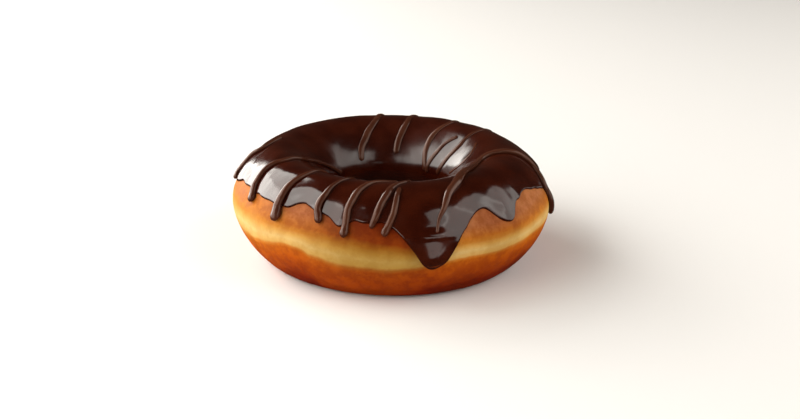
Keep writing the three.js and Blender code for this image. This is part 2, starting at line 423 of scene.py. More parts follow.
def crust_material():
    """Crust coloured by the distance from the belt and by deeper frying mixed with painted shade.
    """
    material, tree, surface = new_material("fried_crust")
    place = node(tree, "ShaderNodeTexCoord").outputs["Object"]
    belt = node(tree, "ShaderNodeAttribute", attribute_name="belt_offset").outputs["Fac"]
    frayed = belt
    for scale, fray in ((BROAD_SCALE, BROAD_FRAY), (NARROW_SCALE, NARROW_FRAY)):
        waves = node(tree, "ShaderNodeTexNoise", {"Vector": place, "Scale": scale, "Detail": 3.0})
        frayed = calc(tree, "MULTIPLY_ADD", waves.outputs["Fac"], fray, frayed)
    shifted = calc(tree, "SUBTRACT", frayed, FRAY_MIDDLE)
    share = ease(tree, shifted, *BELT_RANGE, shape="LINEAR")
    # this attribute mixes crust that fried deeper with painted shade round the ring
    browned_and_shaded = node(tree, "ShaderNodeAttribute", attribute_name="browning").outputs["Fac"]
    crust = mixed(tree, browned_and_shaded, belt_ramp(tree, share, FAIR_STOPS),
                  belt_ramp(tree, share, DEEP_AND_SHADED_STOPS))
    grain = uneven(tree, *CRUST_GRAIN)
    mottle = mixed(tree, ease(tree, grain["Height"], *GRAIN_HEIGHTS),
                   (*MOTTLE_DARK, 1.0), (*MOTTLE_PALE, 1.0))
    mottled = ease(tree, calc(tree, "ABSOLUTE", shifted), *MOTTLE_FADE, BELT_MOTTLE, 1.0)
    shade = mixed(tree, mottled, crust, mottle, "MULTIPLY")
    feed(tree, surface.inputs["Base Color"], shade)
    rough = ease(tree, grain["Mask"], 0.0, 1.0, *CRUST_ROUGHNESS, shape="LINEAR")
    feed(tree, surface.inputs["Roughness"], rough)
    normal = raised(tree, grain["Height"], CRUST_BUMP, CRUST_BUMP_STRENGTH)
    feed(tree, surface.inputs["Normal"], normal)
    preset(surface, {
        "Specular IOR Level": CRUST_SHINE,
        "Subsurface Weight": UNDER_SKIN,
        "Subsurface Radius": UNDER_SKIN_REACH,
        "Subsurface Scale": UNDER_SKIN_DEPTH,
    })
    return material


CRUST = crust_material()
print("material", CRUST.name, "has", len(CRUST.node_tree.nodes), "nodes")

# %% [markdown]
# ## The dough ring
#
# A torus could be sculpted into a ring of risen dough. But this ring follows a rule all the
# way round, on which the chocolate has to lie exactly, so Geometry Nodes make it: a flat
# grid is bent by the rule, its two seams are merged, the surface then sinks where the glaze
# will lie, and noise gives it a slack, slightly lumpy skin. The underside is pressed flat by
# a smooth maximum, which also rounds the edge it rests on. The tree stores what the crust's
# colour needs: the distance from the belt, which wanders up and down because the ring leaned
# in the oil, and a number round the ring that mixes deeper frying with painted shade.

# %% The belt, and the browning and painted shade round the ring
# azimuth in degrees and level in mm
BELT_LOWER_EDGE = (
    (-180, 13.0), (-130, 12.6), (-90, 11.6), (-66, 11.6), (-54, 13.0), (-44, 14.3), (-36, 15.0),
    (-29, 13.4), (-18, 12.0), (-6, 11.5), (6, 12.0), (24, 13.5), (48, 13.6), (60, 14.4),
    (80, 13.6), (120, 13.2), (180, 13.0),
)
BELT_UPPER_EDGE = (
    (-180, 18.4), (-120, 18.9), (-84, 19.4), (-48, 19.9), (-30, 19.7), (-18, 19.0), (-4, 18.2),
    (8, 17.4), (24, 17.9), (48, 18.0), (62, 18.6), (85, 18.6), (130, 18.2), (180, 18.4),
)
BELT_LEVELS = (10.0, 22.0)  # both edges stay between these
# azimuth in degrees and how deep the crust's colour goes, from fair at 0 to deep at 1:
# partly deeper frying, partly painted shade, deepest at the front and raised under the right runs
BROWNING_AND_PAINTED_SHADE = (
    (-180, 0.5), (-120, 0.3), (-84, 0.2), (-60, 0.15), (-47, 0.3), (-38, 0.34), (-20, 0.8),
    (0, 1.0), (10, 0.9), (18, 0.55), (25, 0.2), (34, 0.45), (42, 0.5), (50, 0.3), (58, 0.12),
    (85, 0.08), (130, 0.4), (180, 0.5),
)
for name, edge in (("lower", BELT_LOWER_EDGE), ("upper", BELT_UPPER_EDGE)):
    levels = [level for _, level in edge]
    print("the belt's", name, "edge lies between", min(levels), "and", max(levels), "mm")

# %% The rule of the ring as nodes


def ring_position(tree, given, azimuth, angle):
    """Where a place named by azimuth and section angle lies, both in radians."""
    sine = calc(tree, "SINE", angle)
    upper = ease(tree, sine, -BLEND_SINE, BLEND_SINE)
    rise = ease(tree, upper, 0, 1, given["Bottom Depth"], given["Top Rise"], "LINEAR")
    slimness = ease(tree, upper, 0, 1, BOTTOM_SLIMNESS, TOP_SLIMNESS, "LINEAR")
    double = calc(tree, "SINE", calc(tree, "MULTIPLY", angle, 2.0))
    squared = calc(tree, "MULTIPLY", double, double)
    pull = calc(tree, "SUBTRACT", 1.0, calc(tree, "MULTIPLY", slimness, squared))
    twice = calc(tree, "MULTIPLY", calc(tree, "SUBTRACT", azimuth, OVAL_AZIMUTH), 2.0)
    oval = calc(tree, "MULTIPLY_ADD", calc(tree, "COSINE", twice), OVALITY, 1.0)
    outer = calc(tree, "MULTIPLY", oval, given["Outer Radius"])
    middle = calc(tree, "SUBTRACT", outer, given["Half Width"])
    outward = calc(tree, "MULTIPLY", calc(tree, "COSINE", angle), pull)
    radius = calc(tree, "MULTIPLY_ADD", outward, given["Half Width"], middle)
    upward = calc(tree, "MULTIPLY", sine, pull)
    level = calc(tree, "MULTIPLY_ADD", upward, rise, given["Widest Level"])
    across = calc(tree, "MULTIPLY", radius, calc(tree, "SINE", azimuth))
    forward = calc(tree, "MULTIPLY", radius, calc(tree, "COSINE", azimuth))
    backward = calc(tree, "MULTIPLY", forward, -1.0)
    place = node(tree, "ShaderNodeCombineXYZ", {"X": across, "Y": backward, "Z": level})
    return place.outputs["Vector"]


# %% Attributes, and numbers that follow the azimuth


def store(tree, geometry, label, value):
    """The geometry with a number stored at each point."""
    made = node(tree, "GeometryNodeStoreNamedAttribute",
                {"Geometry": geometry, "Name": label, "Value": value},
                data_type="FLOAT", domain="POINT")
    return made.outputs["Geometry"]


def recall(tree, label, kind="FLOAT"):
    """A stored number, or a stored vector."""
    made = node(tree, "GeometryNodeInputNamedAttribute", {"Name": label}, data_type=kind)
    return made.outputs["Attribute"]


def point_xyz(tree):
    """A point's own X, Y and Z."""
    place = node(tree, "GeometryNodeInputPosition").outputs["Position"]
    return node(tree, "ShaderNodeSeparateXYZ", {"Vector": place}).outputs


def by_azimuth(tree, azimuth, points, low, high):
    """A number that follows the azimuth through (azimuth, number) points, both ends alike."""
    turns = calc(tree, "ADD", calc(tree, "DIVIDE", azimuth, 2 * math.pi), 0.5)
    curve = node(tree, "ShaderNodeFloatCurve", {"Value": calc(tree, "FRACT", turns)})
    handles = curve.mapping.curves[0].points
    while len(handles) < len(points):
        handles.new(0.5, 0.5)
    for handle, (at, number) in zip(handles, points):
        handle.location = ((at + 180) / 360, (number - low) / (high - low))
    curve.mapping.update()
    return ease(tree, curve.outputs["Value"], 0, 1, low, high, "LINEAR")


def belt_offset(tree, azimuth, level):
    """How far a level lies from the belt's middle, counted in half belts."""
    lower = by_azimuth(tree, azimuth, BELT_LOWER_EDGE, *BELT_LEVELS)
    upper = by_azimuth(tree, azimuth, BELT_UPPER_EDGE, *BELT_LEVELS)
    middle = calc(tree, "MULTIPLY", calc(tree, "ADD", lower, upper), 0.5)
    half = calc(tree, "MULTIPLY", calc(tree, "SUBTRACT", upper, lower), 0.5)
    over_middle = calc(tree, "SUBTRACT", calc(tree, "DIVIDE", level, MM), middle)
    return calc(tree, "DIVIDE", over_middle, half)


# %% What the dough tree is given, and two of its steps
DOUGH_INPUTS = (
    ("Outer Radius", "NodeSocketFloat", OUTER_RADIUS),
    ("Half Width", "NodeSocketFloat", HALF_WIDTH),
    ("Widest Level", "NodeSocketFloat", WIDEST_LEVEL),
    ("Top Rise", "NodeSocketFloat", TOP_RISE),
    ("Bottom Depth", "NodeSocketFloat", BOTTOM_DEPTH),
    ("Cover", "NodeSocketFloat", COVER),
    ("Lump Height", "NodeSocketFloat", 0.5 * MM),
    ("Blister Height", "NodeSocketFloat", 0.16 * MM),
    ("Material", "NodeSocketMaterial", None),
)
AROUND = 500
SECTION = 190
SEAM_DISTANCE = 0.01 * MM
NOISE_SEED = 4.0
LUMP_SCALE, LUMP_MIDDLE = 75.0, 0.62  # noise over the middle swells the crust, under it sinks it
BLISTER_SCALE, BLISTER_MIDDLE = 420.0, 0.5
FOOT_ROUNDING = 1.6 * MM  # how softly the flat underside turns into the side


def swelling(tree, scale, middle, height):
    """Noise about its middle, times a height."""
    waves = node(tree, "ShaderNodeTexNoise", {"Scale": scale, "Detail": 2.0, "W": NOISE_SEED},
                 noise_dimensions="4D")
    return calc(tree, "MULTIPLY", calc(tree, "SUBTRACT", waves.outputs["Fac"], middle), height)


def dressed_in(tree, geometry, material, result):
    """Ends a tree: real geometry, in its material."""
    real = node(tree, "GeometryNodeRealizeInstances", {"Geometry": geometry})
    dressed = node(tree, "GeometryNodeSetMaterial",
                   {"Geometry": real.outputs["Geometry"], "Material": material})
    feed(tree, result.inputs["Geometry"], dressed.outputs["Geometry"])


# %% The dough tree


def dough_tree():
    """Bends a grid into the ring, sinks and swells its skin, and flattens its foot."""
    tree, source, result = new_tree("dough_ring_tree", DOUGH_INPUTS)
    given = source.outputs
    grid = node(tree, "GeometryNodeMeshGrid",
                {"Size X": 1.0, "Size Y": 1.0, "Vertices X": AROUND + 1, "Vertices Y": SECTION + 1})
    flat = point_xyz(tree)
    mesh = store(tree, grid.outputs["Mesh"], "azimuth",
                 calc(tree, "MULTIPLY", flat["X"], 2 * math.pi))
    mesh = store(tree, mesh, "section_angle",
                 calc(tree, "MULTIPLY_ADD", flat["Y"], 2 * math.pi, math.pi / 2))
    azimuth, turn = recall(tree, "azimuth"), recall(tree, "section_angle")
    bent = node(tree, "GeometryNodeSetPosition",
                {"Geometry": mesh, "Position": ring_position(tree, given, azimuth, turn)})
    mesh = store(tree, bent.outputs["Geometry"], "belt_offset",
                 belt_offset(tree, azimuth, point_xyz(tree)["Z"]))
    # stores the mix of deeper frying and painted shade round the ring
    mesh = store(tree, mesh, "browning", by_azimuth(tree, azimuth, BROWNING_AND_PAINTED_SHADE, 0, 1))
    merged = node(tree, "GeometryNodeMergeByDistance",
                  {"Geometry": mesh, "Distance": SEAM_DISTANCE})
    sunk = calc(tree, "MULTIPLY",
                ease(tree, turn, *(math.radians(x) for x in OUTSIDE_FADE)),
                ease(tree, turn, *(math.radians(x) for x in INSIDE_FADE), 1.0, 0.0))
    bare = calc(tree, "SUBTRACT", 1.0, sunk)
    lumpy = swelling(tree, LUMP_SCALE, LUMP_MIDDLE, given["Lump Height"])
    blistered = swelling(tree, BLISTER_SCALE, BLISTER_MIDDLE, given["Blister Height"])
    swell = calc(tree, "MULTIPLY", calc(tree, "ADD", lumpy, blistered), bare)
    lift = calc(tree, "SUBTRACT", swell, calc(tree, "MULTIPLY", sunk, given["Cover"]))
    normal = node(tree, "GeometryNodeInputNormal").outputs["Normal"]
    shaped = node(tree, "GeometryNodeSetPosition",
                  {"Geometry": merged.outputs["Geometry"], "Offset": scaled(tree, normal, lift)})
    now = point_xyz(tree)
    pressed = node(tree, "ShaderNodeCombineXYZ",
                   {"X": now["X"], "Y": now["Y"],
                    "Z": calc(tree, "SMOOTH_MAX", now["Z"], 0.0, FOOT_ROUNDING)})
    rested = node(tree, "GeometryNodeSetPosition",
                  {"Geometry": shaped.outputs["Geometry"], "Position": pressed.outputs["Vector"]})
    dressed_in(tree, rested.outputs["Geometry"], given["Material"], result)
    return tree


# %% The dough itself
dough = grow("fried_dough_ring", dough_tree(), {"Material": CRUST})
report(dough)

# %% [markdown]
# ## Where the glaze ends
#
# Poured glaze creeps down the outside until it sets, so its rim is a line with runs and
# bays. Here the rim is a level section angle with smooth bells added to it: each run has an
# azimuth, a half width and a drop, and a bay is a run with a negative drop. The longest run
# hangs at the front, a little right of the middle. The runs at the back and the rim inside
# the hole are made in the same manner. Noise adds small ripples to the outer rim.

# %% The rims
OUTER_RIM = 31.5
INNER_RIM = 202.0
# azimuth, half width and drop, all in degrees
OUTER_RUNS = (
    (-91, 14, 18), (-76, 6, 3), (-35, 8, -12), (-27, 7, -4), (-18, 6, 9), (-9, 5, 2),
    (14.2, 18.5, 52), (35, 6, -7), (44.5, 9, 22), (61, 9, -7), (78, 11, 12),
    (101, 9, 16), (124, 8, 6), (146, 12, 24), (171, 9, 9),
    (-165, 8, -7), (-143, 11, 19), (-120, 9, 7),
)
INNER_RUNS = ((-150, 18, 6), (-70, 25, -5), (10, 20, 7), (80, 22, -4), (150, 16, 5))
RIPPLE = 1.8  # how far small ripples move the outer rim, in degrees of section angle
RIPPLES_AROUND = 17.0
RIPPLE_LAYER = 0.4  # the level of the noise in which the ripples' circle lies


def turn_between(azimuth, other):
    """The degrees from one azimuth to another, the short way round."""
    return np.abs((azimuth - other + 180) % 360 - 180)


def reach(runs, azimuth):
    """How far the runs pull a rim down at each azimuth, in degrees of section angle."""
    total = np.zeros_like(azimuth, dtype=float)
    for at, half, drop in runs:
        share = np.clip(turn_between(azimuth, at) / half, 0, 1)
        total += drop * 0.5 * (1 + np.cos(np.pi * share))
    return total


def outer_rim(azimuth):
    """Section angle of the outer rim, in degrees."""
    ripples = [noise.noise(Vector((math.cos(turn), math.sin(turn), RIPPLE_LAYER)) * RIPPLES_AROUND)
               for turn in np.radians(azimuth)]
    return OUTER_RIM - reach(OUTER_RUNS, azimuth) + RIPPLE * np.array(ripples)


def inner_rim(azimuth):
    """Section angle of the rim in the hole, in degrees."""
    return INNER_RIM + reach(INNER_RUNS, azimuth)


FINE_STEP = 0.1
fine_azimuths = np.arange(0, 360, FINE_STEP)
rim_levels = over_dough(fine_azimuths, outer_rim(fine_azimuths), 0.0)[:, 2]
print("outer rim between", (rim_levels.min() / MM).round(1), "and",
      (rim_levels.max() / MM).round(1), "mm")

# %% [markdown]
# ## How thick the glaze lies
#
# Set chocolate is a little over a millimetre thick on the crest and thins towards its rims,
# where it ends in a narrow round lip. At the tips of the runs it gathers into beads, and
# over the longest one a second flow has stopped short and left a ridge. How thick it is
# depends on how near the rim is, so a search tree of points along both rims measures that
# distance for every vertex. Slow noise makes the skin wander by a tenth of a millimetre or
# two, which is what bends the reflections in it.

# %% Thickness
GLAZE_THICKNESS = 1.20 * MM
RIM_THICKNESS = 0.50 * MM
RIM_THINS_OVER = 6.0 * MM
LIP_WIDTH = 0.55 * MM
FOOT_DEPTH = 0.30 * MM  # the glaze's underside bites this far into the crust
BEADS = (
    # azimuth, section angle, height in mm, azimuth spread, spread above, spread below
    (12.5, -11.0, 1.75, 6.0, 8.5, 5.0),  # the tip of the longest run
    (13.5, 11.0, 0.45, 9.0, 8.5, 3.6),  # the ridge where the second flow stopped
    (14.0, 52.0, 0.80, 12.0, 14.0, 18.0),  # the second flow itself
    (44.5, 17.0, 0.30, 4.5, 9.0, 7.0),  # from here on shorter runs and one swelling
    (-18.0, 30.0, 0.15, 4.0, 7.0, 6.0),
    (-91.0, 22.0, 0.25, 6.0, 8.0, 6.0),
    (-96.0, 52.0, 0.35, 3.5, 6.0, 6.0),
    (101.0, 24.0, 0.30, 5.0, 8.0, 6.0),
    (146.0, 16.0, 0.45, 5.0, 9.0, 6.0),
    (-143.0, 20.0, 0.40, 5.0, 9.0, 6.0),
)
WANDER = (
    # height and wavelength in mm
    (0.20, 10.0),
    (0.085, 4.6),
    (0.022, 2.0),
)
WANDER_LAYER = 0.37  # how far apart in the noise the waves of each size lie

rim_points = np.concatenate([
    over_dough(fine_azimuths, outer_rim(fine_azimuths), 0.0),
    over_dough(fine_azimuths, inner_rim(fine_azimuths), 0.0),
])
rim_tree = kdtree.KDTree(len(rim_points))
for index, point in enumerate(rim_points):
    rim_tree.insert(point, index)
rim_tree.balance()
print("points along both rims:", len(rim_points))


def glaze_height(azimuth, angle):
    """Height of the glaze's skin over the dough at matching arrays of angles."""
    places = over_dough(azimuth, angle, 0.0)
    flat = places.reshape(-1, 3)
    distance = np.array([rim_tree.find(point)[2] for point in flat]).reshape(azimuth.shape)
    thickness = RIM_THICKNESS + (GLAZE_THICKNESS - RIM_THICKNESS) * smoothstep(
        distance, 0.0, RIM_THINS_OVER)
    for number, (height, length) in enumerate(WANDER):
        offset = Vector((0.0, 0.0, WANDER_LAYER * number))
        waves = [noise.noise(Vector(point) / (length * MM) + offset) for point in flat]
        thickness += height * MM * np.array(waves).reshape(azimuth.shape)
    for at, up, height, around, above, below in BEADS:
        sideways = turn_between(azimuth, at) / around
        along = (angle - up) / np.where(angle > up, above, below)
        thickness += height * MM * np.exp(-sideways ** 2 - along ** 2)
    share = np.clip(distance / LIP_WIDTH, 0, 1)
    lip = np.sqrt(1 - (1 - share) ** 2)
    return (thickness + FOOT_DEPTH) * lip - FOOT_DEPTH


# %% [markdown]
# ## Finishes: chocolate
#
# Glaze sets to a wet gloss, very dark and slightly red. The drizzle is thicker chocolate, a
# little paler, and what it mirrors is weaker and browner. Both are dark skins over which
# all the life comes from reflected light, so the colour stays near black and the shine does
# the work. Towards the back of the ring both have set duller, which softens the edges of
# the light there.

# %% The chocolate materials
DULLER_BETWEEN = (-4.0 * MM, 22.0 * MM)  # places on Y; the back of the ring is at high Y
CHOCOLATE_GRAIN = (120.0, 700.0, 0.25)
CHOCOLATE_BUMP = 0.05 * MM
CHOCOLATE_BUMP_STRENGTH = 0.5
CHOCOLATE_IOR = 1.5


def chocolate_material(name, colour, pale_colour, roughness, duller_by, shine, shine_tint):
    """Chocolate whose colour and roughness follow the grain."""
    material, tree, surface = new_material(name)
    grain = uneven(tree, *CHOCOLATE_GRAIN)
    tint = mixed(tree, grain["Mask"], (*colour, 1.0), (*pale_colour, 1.0))
    feed(tree, surface.inputs["Base Color"], tint)
    rough = ease(tree, grain["Mask"], 0.0, 1.0, *roughness, shape="LINEAR")
    place = node(tree, "ShaderNodeTexCoord").outputs["Object"]
    towards_back = node(tree, "ShaderNodeSeparateXYZ", {"Vector": place}).outputs["Y"]
    duller = ease(tree, towards_back, *DULLER_BETWEEN, 0.0, duller_by)
    feed(tree, surface.inputs["Roughness"], calc(tree, "ADD", rough, duller))
    normal = raised(tree, grain["Height"], CHOCOLATE_BUMP, CHOCOLATE_BUMP_STRENGTH)
    feed(tree, surface.inputs["Normal"], normal)
    preset(surface, {
        "IOR": CHOCOLATE_IOR,
        "Specular IOR Level": shine,
        "Specular Tint": (*shine_tint, 1.0),
    })
    return material


GLOSSY_CHOCOLATE = chocolate_material(
    "glossy_chocolate", (0.020, 0.0020, 0.0004), (0.036, 0.0046, 0.0010), (0.10, 0.16),
    duller_by=0.09, shine=0.5, shine_tint=(1.0, 1.0, 1.0))
SATIN_CHOCOLATE = chocolate_material(
    "satin_chocolate", (0.044, 0.0120, 0.0060), (0.066, 0.021, 0.011), (0.08, 0.13),
    duller_by=0.12, shine=0.32, shine_tint=(1.0, 0.76, 0.66))
print("materials", GLOSSY_CHOCOLATE.name, "and", SATIN_CHOCOLATE.name)

# %% [markdown]
# ## The glaze
#
# A copy of the dough's top could be thickened by a modifier, but its rims would come out
# square. So the skin is computed, as one closed shell over a grid of azimuths and rows. Its
# rows start at the outer rim, cross the crest, go down into the hole and come back
# underneath. They crowd towards both rims, where the lip curves hardest.

# %% The glaze's mesh
GLAZE_COLUMNS = 720
GLAZE_TOP_ROWS = 112
GLAZE_UNDER_ROWS = 20
ROW_CROWDING = 0.8  # 0 spaces the rows evenly, 1 crowds them most


def crowded(share):
    """Moves evenly spaced shares towards 0 and 1."""
    return share - ROW_CROWDING * np.sin(2 * np.pi * share) / (2 * np.pi)


def shell_mesh(name, rows):
    """A mesh from rows of points that close on themselves both ways."""
    count, columns = rows.shape[:2]
    row, column = np.meshgrid(np.arange(count), np.arange(columns), indexing="ij")
    next_row, next_column = (row + 1) % count, (column + 1) % columns
    corners = np.stack([
        row * columns + column,
        row * columns + next_column,
        next_row * columns + next_column,
        next_row * columns + column,
    ], axis=-1)
    mesh = bpy.data.meshes.new(name)
    mesh.from_pydata(rows.reshape(-1, 3).tolist(), [], corners.reshape(-1, 4).tolist())
    mesh.shade_smooth()
    return mesh


def glaze_rows():
    """Points of the skin from rim to rim, then of the underside back again."""
    columns = np.arange(GLAZE_COLUMNS) * 360.0 / GLAZE_COLUMNS
    start, end = outer_rim(columns), inner_rim(columns)
    top = crowded(np.linspace(0, 1, GLAZE_TOP_ROWS + 1))[:, None]
    azimuths = np.broadcast_to(columns, (len(top), GLAZE_COLUMNS))
    angles = start + (end - start) * top
    skin = over_dough(azimuths, angles, glaze_height(azimuths, angles))
    under = np.linspace(1, 0, GLAZE_UNDER_ROWS + 2)[1:-1, None]
    below = over_dough(columns, start + (end - start) * under, -FOOT_DEPTH)
    return np.concatenate([skin, below])


# %% The glaze itself
glaze_mesh = shell_mesh("chocolate_glaze_skin", glaze_rows())
glaze_mesh.materials.append(GLOSSY_CHOCOLATE)
glaze = add_object("chocolate_glaze_skin", glaze_mesh)
report(glaze)

# %% [markdown]
# ## The drizzle
#
# Thicker chocolate was swung back and forth over the set glaze from a bag, which laid near
# parallel strands across the ring. Each strand is one line of bends named by azimuth and
# section angle, with a width at each: strands are thin where the bag moved fast and swell
# where they hang. A bevelled curve would float over the glaze or cut into it, so one
# Geometry Nodes tree makes them all: it drops the line onto the glaze or the dough,
# whichever lies under it, evens out the step at the glaze's lip, and sweeps a flattened
# round along it that closes at both ends.

# %% Laying a line down
STRAND_INPUTS = (
    ("Glaze", "NodeSocketObject", None),
    ("Dough", "NodeSocketObject", None),
    ("Flatness", "NodeSocketFloat", 0.75),
    ("Sink", "NodeSocketFloat", 0.3 * MM),
    ("Bed Smoothing", "NodeSocketInt", 14),
    ("Sides", "NodeSocketInt", 20),
    ("Seed", "NodeSocketFloat", 0.0),
    ("Material", "NodeSocketMaterial", None),
)
DROP_HEIGHT = 4.0 * MM
DROP_REACH = 20.0 * MM


def laid_down(tree, given, up, half_width):
    """The line, dropped onto glaze or dough and sunk into it a little."""
    line = node(tree, "GeometryNodeMeshToCurve", {"Mesh": given["Geometry"]})
    bed = node(tree, "GeometryNodeJoinGeometry")
    for label in ("Dough", "Glaze"):
        piece = node(tree, "GeometryNodeObjectInfo", {"Object": given[label]})
        tree.links.new(piece.outputs["Geometry"], bed.inputs["Geometry"])
    place = node(tree, "GeometryNodeInputPosition").outputs["Position"]
    ray = node(tree, "GeometryNodeRaycast",
               {"Target Geometry": bed.outputs["Geometry"], "Source Position": place,
                "Ray Direction": scaled(tree, up, -1.0), "Ray Length": DROP_REACH})
    fall = node(tree, "GeometryNodeBlurAttribute",
                {"Value": ray.outputs["Hit Distance"], "Iterations": given["Bed Smoothing"]},
                data_type="FLOAT")
    half_height = calc(tree, "MULTIPLY", half_width, given["Flatness"])
    over_bed = calc(tree, "SUBTRACT", half_height, given["Sink"])
    lift = calc(tree, "SUBTRACT", over_bed, fall.outputs["Value"])
    laid = node(tree, "GeometryNodeSetPosition",
                {"Geometry": line.outputs["Curve"], "Offset": scaled(tree, up, lift)})
    return laid.outputs["Geometry"]


# %% How thick a strand is along its way
END_LENGTH = 0.6  # the length over which an end closes, in strand widths
WAVER_SCALE = 170.0
WAVER_LEAST, WAVER_SPAN = 0.88, 0.24  # the width wavers about its own measure
LEAST_SIZE = 0.06  # the share of the width that an end's small cap keeps


def strand_radius(tree, given, width, half_width):
    """Half the width, wavering a little and rounded off at both ends."""
    along = node(tree, "GeometryNodeSplineParameter").outputs["Length"]
    whole = node(tree, "GeometryNodeSplineLength").outputs["Length"]
    left = calc(tree, "MINIMUM", along, calc(tree, "SUBTRACT", whole, along))
    end_length = calc(tree, "MULTIPLY", width, END_LENGTH)
    share = calc(tree, "MINIMUM", calc(tree, "DIVIDE", left, end_length), 1.0)
    opened = calc(tree, "SUBTRACT", 1.0, share)
    squared = calc(tree, "MULTIPLY", opened, opened)
    closing = calc(tree, "SQRT", calc(tree, "SUBTRACT", 1.0, squared))
    waver = node(tree, "ShaderNodeTexNoise",
                 {"Scale": WAVER_SCALE, "Detail": 1.0, "W": given["Seed"]}, noise_dimensions="4D")
    wavers = calc(tree, "MULTIPLY_ADD", waver.outputs["Fac"], WAVER_SPAN, WAVER_LEAST)
    size = calc(tree, "MAXIMUM", calc(tree, "MULTIPLY", wavers, closing), LEAST_SIZE)
    return calc(tree, "MULTIPLY", half_width, size)


# %% The strand tree


def strand_tree():
    """Sweeps a flattened round along the line."""
    tree, source, result = new_tree("drizzle_strand_tree", STRAND_INPUTS)
    given = source.outputs
    up, width = recall(tree, "up", "FLOAT_VECTOR"), recall(tree, "width")
    half_width = calc(tree, "MULTIPLY", width, 0.5)
    sized = node(tree, "GeometryNodeSetCurveRadius",
                 {"Curve": laid_down(tree, given, up, half_width),
                  "Radius": strand_radius(tree, given, width, half_width)})
    normals = node(tree, "GeometryNodeSetCurveNormal",
                   {"Curve": sized.outputs["Curve"], "Normal": up}, mode="FREE")
    circle = node(tree, "GeometryNodeCurvePrimitiveCircle",
                  {"Radius": 1.0, "Resolution": given["Sides"]}, mode="RADIUS")
    oval = node(tree, "ShaderNodeCombineXYZ", {"X": given["Flatness"], "Y": 1.0, "Z": 1.0})
    profile = node(tree, "GeometryNodeTransform",
                   {"Geometry": circle.outputs["Curve"], "Scale": oval.outputs["Vector"]})
    swept = node(tree, "GeometryNodeCurveToMesh",
                 {"Curve": normals.outputs["Curve"], "Profile Curve": profile.outputs["Geometry"],
                  "Scale": node(tree, "GeometryNodeInputRadius").outputs["Radius"],
                  "Fill Caps": True})
    dressed_in(tree, swept.outputs["Mesh"], given["Material"], result)
    return tree


STRAND_TREE = strand_tree()
print("tree", STRAND_TREE.name, "has", len(STRAND_TREE.nodes), "nodes")

# %% [markdown]
# ## The strands, one by one
#
# The strands keep the order of the CAD nodes. The first lies along the left outline, the
# next six hang over the front, the eighth starts thin on the longest run, arcs over the
# right shoulder and hangs free on the right, and the rest lie flatter across the back of
# the ring and down into the hole.

